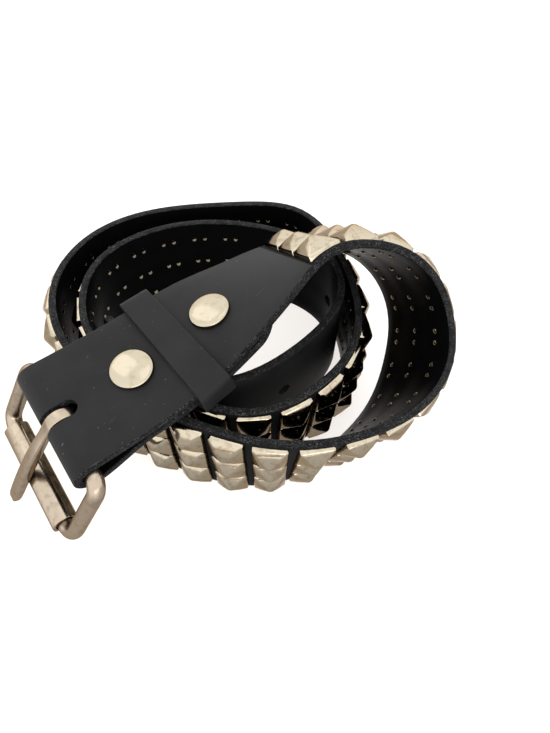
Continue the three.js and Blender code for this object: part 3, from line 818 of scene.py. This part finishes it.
class BELT_OT_studs(BeltPiece, bpy.types.Operator):
    """The pyramid studs in their columns, with the bent-over prongs behind them"""

    bl_idname = "belt.studs"
    bl_label = "Studs"

    def execute(self, context):
        stud = self.press_stud()
        prong = self.bend_prong()
        plate = nickel("nickel_plated_pressed_stud", self.colours, self.colours.plate, 0.09, 1.2)
        spacing = self.sizes.prong_spacing / MM / 2
        for column in range(STUD_COLUMNS):
            s = BUCKLE_END + column * COLUMN_PITCH + STUD / 2
            rows = [(row - (STUD_ROWS - 1) / 2) * STUD for row in range(STUD_ROWS)]
            fronts = [strap_matrix(s, v, LEATHER / 2) for v in rows]
            backs = [strap_matrix(s + side * spacing, v, -LEATHER / 2, facets=False)
                     for v in rows for side in (-1, 1)]
            name = f"studs_{column + 1:02d}"
            studs = several(name + "_caps", stud, fronts)
            prongs = several(name + "_prongs", prong, backs)
            take(studs)
            prongs.select_set(True)
            bpy.ops.object.join()
            studs.name = name
            smooth(studs, 24)
            dress(studs, "belt", "nickel_studs", [f"stud_column_{column + 1:02d}"], plate)
        bpy.data.objects.remove(stud)
        bpy.data.objects.remove(prong)
        return {"FINISHED"}

    def press_stud(self):
        """One square pyramid, cushioned and soft on its hips, over a straight rim."""
        start()
        slope = STUD_HEIGHT - STUD_RIM
        bpy.ops.mesh.primitive_cone_add(vertices=4, radius1=1 / math.sqrt(2), radius2=0.0,
                                        depth=slope * MM, location=(0, 0, (STUD_RIM + slope / 2) * MM),
                                        rotation=(0, 0, math.pi / 4))
        stud = settle(bpy.context.object)
        stud.scale = (self.sizes.stud_length, self.sizes.stud_width, 1)
        settle(stud)
        rim = STUD_RIM * MM
        open_mesh(stud)
        pick_bottom()
        extrude(0, 0, -rim)
        # The base is open, as a pressed stud's is
        bpy.ops.mesh.delete(type="FACE")
        pick("EDGE", lambda middle, run: abs(run.z) > CLOSE)
        round_off(self.sizes.hip_rounding, 2)
        pick_all()
        bpy.ops.mesh.bisect(plane_co=(0, 0, rim + slope * SWELL_RING * MM), plane_no=(0, 0, 1))
        pick("EDGE", lambda middle, run: abs(middle.z - rim) < CLOSE and abs(run.z) < CLOSE)
        round_off(self.sizes.rim_rounding, 2)
        close_mesh()
        places = places_of(stud.data)
        # Faces and hips swell between the rim and the point. Halfway up, a quarter of the width lies on
        # each side, and the 8 makes them swell there by the belly
        rise = np.clip((places[:, 2] - rim) / (slope * MM), 0, 1)
        swell = 1 + 8 * self.sizes.stud_belly / self.sizes.stud_width * rise
        places[:, :2] *= swell[:, None]
        put_places(stud.data, places)
        return stud

    def bend_prong(self):
        """The end of a prong, clenched flat against the back of the strap."""
        start()
        bpy.ops.mesh.primitive_uv_sphere_add(segments=8, ring_count=5, radius=0.5)
        prong = bpy.context.object
        prong.scale = (self.sizes.prong_width, self.sizes.prong_length, PRONG_END_THICKNESS * MM)
        return settle(prong)


# Snaps


class BELT_OT_snaps(BeltPiece, bpy.types.Operator):
    """The two snaps' domed caps and their ring backs"""

    bl_idname = "belt.snaps"
    bl_label = "Snaps"

    def execute(self, context):
        cap = self.press_cap()
        back = self.press_back()
        plate = nickel("nickel_plated_snap", self.colours, self.colours.plate, 0.12, 0.5)
        for number, s in enumerate(SNAP_PLACES, 1):
            front = strap_matrix(s, 0, LEATHER / 2, facets=False)
            under = strap_matrix(s, 0, -LEATHER / 2 - LAYER_STEP, facets=False)
            capped = several(f"snap_{number}_cap", cap, [front])
            backed = several(f"snap_{number}_back", back, [under])
            smooth(capped, 40)
            smooth(backed, 40)
            dress(capped, "belt", "nickel_fittings", [f"snap_cap_{number}"], plate)
            dress(backed, "belt", "nickel_fittings", [f"snap_back_{number}"], plate)
        bpy.data.objects.remove(cap)
        bpy.data.objects.remove(back)
        return {"FINISHED"}

    def press_cap(self):
        """A low dome over a rolled rim."""
        start()
        radius = self.sizes.cap_radius
        bpy.ops.mesh.primitive_uv_sphere_add(segments=48, ring_count=24, radius=radius)
        cap = bpy.context.object
        cap.scale.z = (CAP_HEIGHT - CAP_RIM) * MM / radius
        cap.location.z = CAP_RIM * MM
        settle(cap)
        open_mesh(cap)
        pick_all()
        bpy.ops.mesh.bisect(plane_co=(0, 0, CAP_RIM * MM), plane_no=(0, 0, 1),
                            use_fill=True, clear_inner=True)
        pick_bottom()
        extrude(0, 0, -CAP_RIM * MM)
        pick("EDGE", lambda middle, run: middle.z < MERGE)
        round_off(CAP_RIM_ROUNDING * MM, 2)
        return close_mesh()

    def press_back(self):
        """A flat ring round the end of the post, on the flap's far side."""
        start()
        height = SNAP_BACK_HEIGHT * MM
        bpy.ops.mesh.primitive_cylinder_add(vertices=48, radius=SNAP_BACK_RADIUS * MM, depth=height,
                                            location=(0, 0, -height / 2))
        back = settle(bpy.context.object)
        open_mesh(back)
        pick_bottom()
        bpy.ops.mesh.inset(thickness=(SNAP_BACK_RADIUS - POST_RADIUS - WELL_ROOM) * MM)
        # The well goes a little over half way in, and the post's end stands up in it
        extrude(0, 0, height * 0.55)
        bpy.ops.mesh.inset(thickness=WELL_WIDTH * MM)
        extrude(0, 0, -height * 0.45)
        pick("EDGE", lambda middle, run: middle.z < -height * 0.9)
        round_off(RING_ROUNDING * MM, 3)
        return close_mesh()


# Keeper


class BELT_OT_keeper(BeltPiece, bpy.types.Operator):
    """The leather loop round the strap and its flap"""

    bl_idname = "belt.keeper"
    bl_label = "Keeper"

    def execute(self, context):
        keeper = self.bend_band()
        keeper.name = "belt_keeper"
        keep_flat_places(keeper)
        for face in keeper.data.polygons:
            face.material_index = 1 if abs(face.normal.x) > 0.8 else 0
        s, v, h = (places_of(keeper.data) / MM).T
        put_places(keeper.data, to_frame(on_route(s, v, h)))
        smooth(keeper, 40)
        dress(keeper, "belt", "black_leather", ["keeper"], leather_face(self.colours),
              leather_edge(self.colours))
        return {"FINISHED"}

    def bend_band(self):
        """A flat band drawn out round the strap, in flat places."""
        half = STRAP_WIDTH / 2 + KEEPER_PLAY
        top = LEATHER / 2 + GAP
        bottom = -LEATHER / 2 - LAYER_STEP - GAP
        corner = KEEPER_LEATHER / 2
        middle = corner + KEEPER_LEATHER / 2
        x = KEEPER_PLACE * MM
        start()
        bpy.ops.mesh.primitive_plane_add(size=1, location=(x, (half + KEEPER_LEATHER / 2) * MM, 0))
        keeper = bpy.context.object
        keeper.scale = (KEEPER_WIDTH * MM, KEEPER_LEATHER * MM, 1)
        settle(keeper)
        open_mesh(keeper)
        pick_all()
        round_off(self.sizes.keeper_rounding, 3, "VERTICES")
        pick_all()
        bpy.ops.mesh.delete(type="ONLY_FACE")
        bpy.ops.mesh.select_mode(type="EDGE")
        pick_all()
        centres = ((half - corner, top - corner), (corner - half, top - corner),
                   (corner - half, bottom + corner), (half - corner, bottom + corner))
        here = Vector((half - corner + middle, 0))
        for k, centre in enumerate(centres):
            out = Vector((math.cos(math.pi / 2 * k), math.sin(math.pi / 2 * k)))
            run = Vector(centre) + out * middle - here
            cuts = math.ceil(run.length / KEEPER_CUT)
            for _ in range(cuts):
                extrude(0, run.x / cuts * MM, run.y / cuts * MM)
            turn_round(6, math.pi / 2, (x, centre[0] * MM, centre[1] * MM), (1, 0, 0))
            here = Vector(centre) + Vector((-out.y, out.x)) * middle
        rest = Vector((half - corner + middle, 0)) - here
        extrude(0, rest.x * MM, rest.y * MM)
        return close_mesh()


# Buckle


# The prong ahead of its eye: shares of the reach and of the climb onto the roller, and how much each
# section grows on the one before it
Prong = namedtuple("Prong", "forward climb width depth")
PRONG_SHAPE = (
    Prong(0.06, 0.05, 0.97, 1.0),
    Prong(0.12, 0.12, 0.96, 1.02),
    Prong(0.20, 0.24, 1.0, 1.06),
    Prong(0.32, 0.44, 1.04, 1.12),
    Prong(0.46, 0.64, 1.03, 1.08),
    Prong(0.62, 0.82, 1.01, 1.04),
    Prong(0.80, 0.95, 1.0, 1.0),
    Prong(1.00, 1.00, 1.0, 1.0),
    Prong(1.20, 1.00, 0.98, 0.98),
    Prong(1.32, 0.99, 0.95, 0.94),
    Prong(1.38, 0.97, 0.88, 0.84),
    Prong(1.415, 0.94, 0.72, 0.68),
    Prong(1.4286, 0.91, 0.5, 0.5),
)


class BELT_OT_buckle(BeltPiece, bpy.types.Operator):
    """The heel-bar buckle: its bent frame, sheet roller and tongue"""

    bl_idname = "belt.buckle"
    bl_label = "Buckle"

    def execute(self, context):
        place = buckle_matrix()
        turn = place.to_euler()
        plates = self.colours, self.colours.plate_buckle
        bar = nickel("nickel_plated_bent_bar", *plates, 0.24, 1.0, turn)
        sheet = nickel("nickel_plated_rolled_sheet", *plates, 0.2, 1.0, turn, (0.06, 1, 1))
        forged = nickel("nickel_plated_forged_tongue", *plates, 0.2, 0.7, turn, (1, 0.05, 1))
        for name, body, node, plate, make in (
                ("bent_bar_frame", "frame", "buckle_frame", bar, self.bend_frame),
                ("sheet_roller", "roller", "roller", sheet, self.roll_roller),
                ("forged_tongue", "tongue", "tongue", forged, self.forge_tongue)):
            piece = make()
            piece.data.transform(place)
            piece.data.update()
            piece.name = name
            smooth(piece, 40)
            dress(piece, body, "nickel_fittings", [node], plate)
        return {"FINISHED"}

    def bend_frame(self):
        """Round bar bent into a frame with four round corners, its ends butted under the fold."""
        start()
        right = FRAME_HALF - FRAME_CORNER
        front = BUCKLE_REACH - FRAME_CORNER
        bpy.ops.mesh.primitive_circle_add(vertices=28, radius=BAR_RADIUS * MM, fill_type="NOTHING",
                                          location=(FRAME_HALF * MM, FRAME_CORNER * MM, 0),
                                          rotation=(math.pi / 2, 0, 0))
        bar = settle(bpy.context.object)
        open_mesh(bar, "EDGE")
        pick_all()
        centres = ((right, front), (-right, front), (-right, FRAME_CORNER), (right, FRAME_CORNER))
        here = Vector((FRAME_HALF, FRAME_CORNER))
        for k, centre in enumerate(centres):
            out = Vector((math.cos(math.pi / 2 * k), math.sin(math.pi / 2 * k)))
            run = Vector(centre) + out * FRAME_CORNER - here
            if run.length > 0.01:
                extrude(run.x * MM, run.y * MM, 0)
            turn_round(10, math.pi / 2, (centre[0] * MM, centre[1] * MM, 0), (0, 0, 1))
            here = Vector(centre) + Vector((-out.y, out.x)) * FRAME_CORNER
        return close_mesh()

    def roll_roller(self):
        """Sheet folded round the front bar into a soft octagon, its edges meeting in an open seam."""
        start()
        length = 2 * (FRAME_HALF - FRAME_CORNER - GAP) * MM
        fold = ROLLER_RADIUS / math.cos(math.pi / ROLLER_SIDES) * MM
        bpy.ops.mesh.primitive_cylinder_add(vertices=ROLLER_SIDES, radius=fold, depth=length,
                                            end_fill_type="NOTHING", rotation=(0, math.pi / 2, 0))
        roller = settle(bpy.context.object)
        open_mesh(roller)
        pick_all()
        bpy.ops.transform.rotate(value=self.sizes.roller_turn, orient_axis="X", center_override=(0, 0, 0))
        seam = self.sizes.roller_turn + math.pi / ROLLER_SIDES
        meeting = Vector((0, math.sin(seam) * fold, math.cos(seam) * fold))
        pick("EDGE", lambda middle, run: abs(run.x) > length / 2 and (middle - meeting).length > LOOSE)
        round_off(self.sizes.roller_rounding, 4)
        pick("EDGE", lambda middle, run: abs(run.x) > length / 2 and (middle - meeting).length < LOOSE)
        round_off(self.sizes.roller_seam / 2, 1)
        pick("FACE", lambda middle, normal: (middle - meeting).length < self.sizes.roller_seam / 2)
        bpy.ops.mesh.delete(type="FACE")
        close_mesh()
        finish_modifier(roller, "SOLIDIFY", thickness=ROLLER_WALL * MM, offset=-1.0)
        finish_modifier(roller, "BEVEL", width=ROLLER_LIP * MM, segments=2, limit_method="ANGLE",
                        angle_limit=math.radians(50))
        places = places_of(roller.data)
        places[:, 1] += BUCKLE_REACH * MM
        put_places(roller.data, places)
        return roller

    def forge_tongue(self):
        """A prong with its eye bent round the heel bar, and its end lying on the roller."""
        start()
        eye_start, eye_turn = math.radians(-50), math.radians(-220)
        top = ROLLER_RADIUS + PRONG_THICKNESS / 2 + TONGUE_GAP
        first = Vector((EYE_RADIUS * math.cos(eye_start), EYE_RADIUS * math.sin(eye_start)))
        bpy.ops.mesh.primitive_plane_add(size=1, location=(0, 0, 0))
        tongue = bpy.context.object
        tongue.scale = (TONGUE_WIDTH * MM, EYE_THICKNESS * MM, 1)
        settle(tongue)
        open_mesh(tongue)
        pick_all()
        round_off(self.sizes.tongue_rounding, 4, "VERTICES")
        bpy.ops.object.mode_set(mode="OBJECT")
        # Stand the section across the start of the eye
        tongue.rotation_euler.x = eye_start
        tongue.location = (0, first.x * MM, first.y * MM)
        settle(tongue)
        open_mesh(tongue)
        pick_all()
        # Spin leaves the first face behind, which closes the eye's end
        turn_round(22, eye_turn, (0, 0, 0), (1, 0, 0))
        here = Vector((0, EYE_RADIUS))
        for row in PRONG_SHAPE:
            there = Vector((row.forward * BUCKLE_REACH, EYE_RADIUS + row.climb * (top - EYE_RADIUS)))
            step = (there - here) * MM
            extrude(0, step.x, step.y)
            bpy.ops.transform.resize(value=(row.width, 1, row.depth),
                                     center_override=(0, there.x * MM, there.y * MM))
            here = there
        return close_mesh()


# Studio


# The camera, fitted to the photograph: focal length in pixels of the long side, place in millimetres
# on the route, and how far it looks down in degrees
FOCAL_LENGTH = 493.28
LONG_SIDE = 733
SENSOR = 36.0
CAMERA_PLACE = (20.0, -114.0, 181.25)
CAMERA_DIP = 57.645

# The floor's size and how far it lies below the belt, in metres, and the strength of its glow
FLOOR_SIZE = 1.1
FLOOR_DROP = 0.0002
FLOOR_GLOW = 0.88

# A direction's height in the tent, from its X, Y and Z and a rise, and the heights where the cloth
# turns to the skirt, to its hem and back to cloth
TENT_TILT = (-0.16, 0.4, 1)
TENT_RISE = 0.4
TENT_HEIGHTS = (0.02, 0.07, 0.12, 0.25)

# Place and size in metres, power in watts
Lamp = namedtuple("Lamp", "name place size power")
LAMPS = (
    Lamp("window", (-0.6, 0.5, 0.8), (0.5, 0.9), 1.2),
    Lamp("ceiling", (0.3, 0.2, 1.3), (0.7, 0.7), 1),
    Lamp("front", (0.3, -0.9, 0.45), (0.9, 0.3), 3),
)
LAMP_AIM = (0, 0, 0.02)


class BELT_OT_stage(BeltPiece, bpy.types.Operator):
    """The camera, the pale floor and the soft lights"""

    bl_idname = "belt.stage"
    bl_label = "Studio"

    def execute(self, context):
        scene = context.scene
        eye = bpy.data.cameras.new("camera")
        camera = bpy.data.objects.new("camera", eye)
        scene.collection.objects.link(camera)
        scene.camera = camera
        eye.sensor_width = SENSOR
        eye.lens = SENSOR * FOCAL_LENGTH / LONG_SIDE
        eye.clip_start = 0.01
        eye.clip_end = 20
        camera.location = Vector(to_frame(np.array(CAMERA_PLACE)))
        camera.rotation_euler = (math.radians(90 - CAMERA_DIP), 0, 0)

        start()
        bpy.ops.mesh.primitive_plane_add(size=FLOOR_SIZE, location=(0, 0, -FLOOR_DROP))
        floor = bpy.context.object
        floor.name = "studio_floor"
        # A light table, which leaves the belt nearly no shadow
        glass, shader = new_material("lit_opal_glass")
        shader.inputs["Base Color"].default_value = self.colours.floor_glass
        shader.inputs["Roughness"].default_value = 0.9
        shader.inputs["Emission Color"].default_value = self.colours.floor_glow
        shader.inputs["Emission Strength"].default_value = FLOOR_GLOW
        floor.data.materials.append(glass)

        world = bpy.data.worlds.new("studio_air")
        scene.world = world
        self.light_tent(world)
        for row in LAMPS:
            self.lamp(*row)
        scene.view_settings.view_transform = "Standard"
        return {"FINISHED"}

    def light_tent(self, world):
        """White cloth all round over a warm brown skirt, which the nickel mirrors."""
        world.use_nodes = True
        way = add_node(world, "ShaderNodeTexCoord").outputs["Generated"]
        split = add_node(world, "ShaderNodeSeparateXYZ", links={"Vector": way})
        # The skirt hangs in front alone, and lower on the buckle's side
        height = add_node(world, "ShaderNodeVectorMath", {"operation": "DOT_PRODUCT"}, links={"Vector": way})
        height.inputs[1].default_value = TENT_TILT
        raised = add_node(world, "ShaderNodeMath", {"operation": "ADD"}, links={0: height.outputs["Value"]})
        raised.inputs[1].default_value = TENT_RISE
        cloth = add_node(world, "ShaderNodeValToRGB", links={"Fac": raised.outputs["Value"]})
        bands = cloth.color_ramp.elements
        foot, skirt, hem, cloth_start = TENT_HEIGHTS
        bands[0].position, bands[0].color = foot, self.colours.tent_cloth
        bands[1].position, bands[1].color = cloth_start, self.colours.tent_cloth
        bands.new(skirt).color = self.colours.tent_skirt
        bands.new(hem).color = self.colours.tent_hem
        background = world.node_tree.nodes["Background"]
        # The cloth is a little brighter in front
        glow = add_node(world, "ShaderNodeMapRange", {"interpolation_type": "SMOOTHSTEP"},
                        {"From Min": -0.9, "From Max": 0.2, "To Min": 3.5, "To Max": 3.2},
                        {"Value": split.outputs["Y"]})
        link(world, glow.outputs["Result"], background, "Strength")
        link(world, cloth.outputs["Color"], background, "Color")

    def lamp(self, name, place, size, power):
        """A rectangular soft light that looks at the belt."""
        data = bpy.data.lights.new(name, "AREA")
        data.shape = "RECTANGLE"
        data.size, data.size_y = size
        data.energy = power
        lamp = bpy.data.objects.new(name, data)
        bpy.context.scene.collection.objects.link(lamp)
        lamp.location = place
        aim = Vector(LAMP_AIM) - Vector(place)
        lamp.rotation_euler = aim.to_track_quat("-Z", "Y").to_euler()


class BELT_PT_workshop(bpy.types.Panel):
    """Makes the belt's pieces"""

    bl_label = "Studded belt"
    bl_space_type = "VIEW_3D"
    bl_region_type = "UI"
    bl_category = "Studded belt"

    def draw(self, context):
        layout = self.layout
        for operator in OPERATORS:
            layout.operator(operator.bl_idname)
        for group in (context.scene.belt_sizes, context.scene.belt_colours):
            for name in group.bl_rna.properties.keys():
                if name not in ("rna_type", "name"):
                    layout.prop(group, name)


OPERATORS = (BELT_OT_stage, BELT_OT_strap, BELT_OT_studs, BELT_OT_snaps, BELT_OT_keeper, BELT_OT_buckle)
CLASSES = (BeltSizes, BeltColours, *OPERATORS, BELT_PT_workshop)


def register():
    for made in CLASSES:
        bpy.utils.register_class(made)
    bpy.types.Scene.belt_sizes = bpy.props.PointerProperty(type=BeltSizes)
    bpy.types.Scene.belt_colours = bpy.props.PointerProperty(type=BeltColours)


def unregister():
    del bpy.types.Scene.belt_colours
    del bpy.types.Scene.belt_sizes
    for made in reversed(CLASSES):
        bpy.utils.unregister_class(made)


def main():
    register()
    bpy.ops.belt.stage()
    bpy.ops.belt.strap()
    bpy.ops.belt.studs()
    bpy.ops.belt.snaps()
    bpy.ops.belt.keeper()
    bpy.ops.belt.buckle()


if __name__ == "__main__":
    main()
